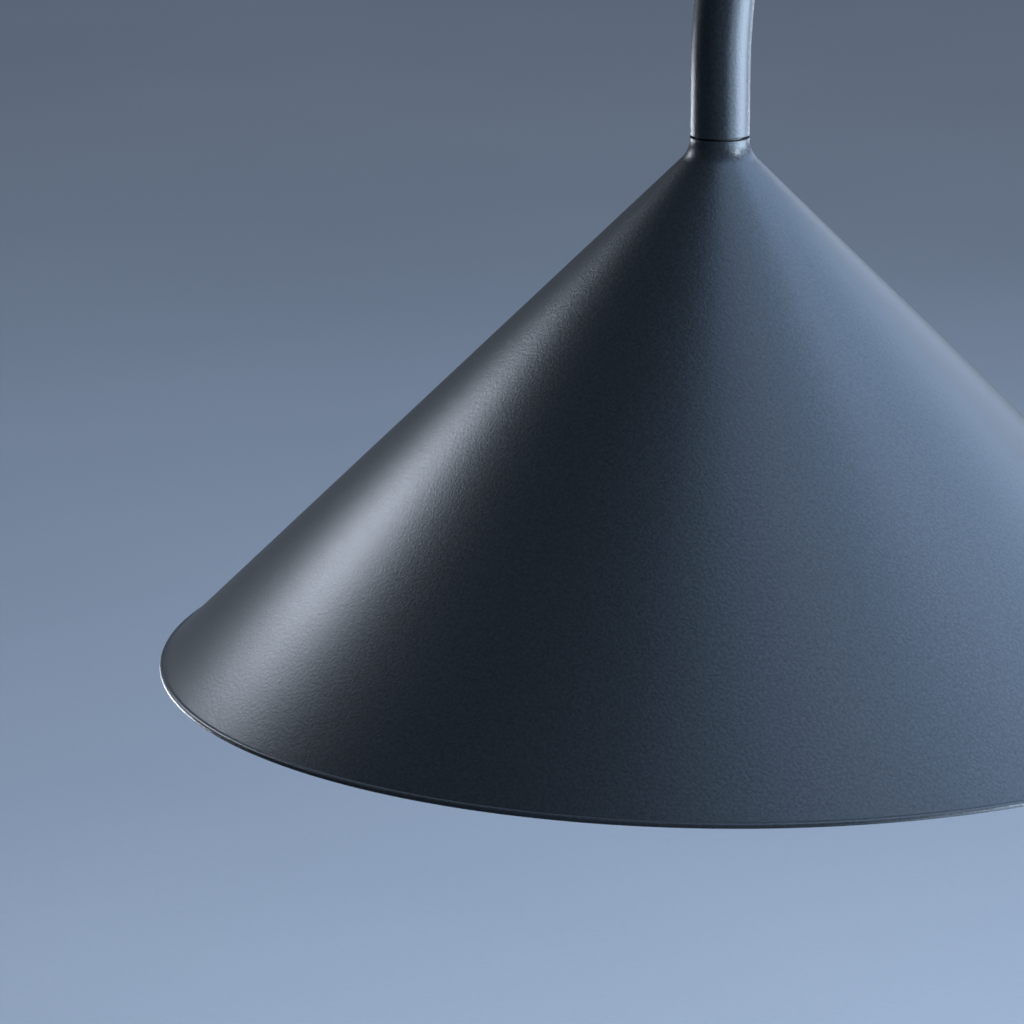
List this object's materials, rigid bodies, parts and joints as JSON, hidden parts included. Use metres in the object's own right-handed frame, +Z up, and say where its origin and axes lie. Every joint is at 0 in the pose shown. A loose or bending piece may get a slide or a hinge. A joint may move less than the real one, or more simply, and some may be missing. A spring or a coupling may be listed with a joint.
{
  "type": "desk lamp",
  "caption": "Adjustable two-arm desk lamp with a conical metal shade on a bent tube, friction hinges and a round weighted base.",
  "frame": {"origin": "centre of the foot pad's underside, on the surface that the lamp stands on", "axes": "+Z up; the two arms lie in the XZ plane at rest, and the shade hangs on the -X side"},
  "size_m": [0.5977, 0.2274, 0.5514],
  "materials": {
    "slate_coat": "satin textured powder coat over metal",
    "slate_aluminium": "satin textured powder coat over aluminium",
    "coated_iron": "cast, primed",
    "steel": "zinc-plated, bright",
    "black_steel": "black oxide",
    "aluminium": "turned, bare",
    "white_inside": "satin white",
    "opal": "opal, matt",
    "friction_plastic": "smooth acetal",
    "black_plastic": "fine texture",
    "board_green": "solder mask",
    "phosphor": "gel",
    "foot_rubber": "matt foam rubber",
    "brass": "turned"
  },
  "bodies": {
    "base": {"foot_pad": "foot_rubber", "bottom_plate": "steel", "base_screws": "black_steel", "base_weight": "coated_iron", "base_cover": "slate_coat", "pivot_bush": "slate_coat", "swivel_friction_washer": "friction_plastic", "switch_bezel": "aluminium", "switch_body": "black_plastic", "dc_inlet": "black_plastic", "driver_board": "board_green", "driver_components": "black_plastic"},
    "button": {"switch_button": "aluminium"},
    "turret": {"shoulder_fork": "slate_aluminium", "spindle_washer": "steel", "spindle_nut": "steel", "shoulder_bolt": "steel", "shoulder_friction_washers": "friction_plastic", "shoulder_spring_washer": "steel", "shoulder_nut": "steel", "shoulder_caps": "slate_aluminium"},
    "lower_arm": {"shoulder_tongue": "slate_aluminium", "lower_tube": "slate_aluminium", "lower_grub_screws": "black_steel", "lower_lead": "black_plastic", "elbow_fork": "slate_aluminium", "elbow_bolt": "steel", "elbow_friction_washers": "friction_plastic", "elbow_spring_washer": "steel", "elbow_nut": "steel", "elbow_caps": "slate_aluminium"},
    "upper_arm": {"elbow_tongue": "slate_aluminium", "upper_tube": "slate_aluminium", "upper_grub_screws": "black_steel", "upper_lead": "black_plastic", "wrist_fork": "slate_aluminium", "wrist_bolt": "steel", "wrist_friction_washers": "friction_plastic", "wrist_spring_washer": "steel", "wrist_nut": "steel", "wrist_caps": "slate_aluminium"},
    "neck": {"wrist_tongue": "slate_aluminium", "neck_tube": "slate_aluminium", "neck_grub_screw": "black_steel", "neck_insert": "brass"},
    "head": {"shade": "slate_aluminium", "seam_washer": "friction_plastic", "head_nipple": "steel", "nipple_clip": "steel", "nipple_washer": "steel", "nipple_nut": "steel", "heat_sink": "aluminium", "led_board": "aluminium", "led_chips": "phosphor", "reflector": "white_inside", "diffuser": "opal", "retaining_ring": "slate_aluminium", "ring_screws": "black_steel"}
  },
  "joints": [
    {"name": "base_swivel", "type": "hinge", "parent": "base", "child": "turret", "pos_m": [0, 0, 0.021], "axis": [0, 0, 1], "range_deg": [-170, 170]},
    {"name": "shoulder", "type": "hinge", "parent": "turret", "child": "lower_arm", "pos_m": [0, 0, 0.06], "axis": [0, -1, 0], "range_deg": [-30, 30]},
    {"name": "elbow", "type": "hinge", "parent": "lower_arm", "child": "upper_arm", "pos_m": [0.08358, 0, 0.45322], "axis": [0, 1, 0], "range_deg": [-30, 60]},
    {"name": "wrist", "type": "hinge", "parent": "upper_arm", "child": "neck", "pos_m": [-0.2062, 0, 0.53086], "axis": [0, 1, 0], "range_deg": [-40, 85]},
    {"name": "head_swivel", "type": "hinge", "parent": "neck", "child": "head", "pos_m": [-0.38398, 0, 0.42405], "axis": [0, 0, 1], "range_deg": [-170, 170]},
    {"name": "switch_press", "type": "slide", "parent": "base", "child": "button", "axis": [0, 0, -1], "range_m": [0, 0.0015], "stiffness_N_per_m": 1200, "springref_m": -0.0008}
  ]
}
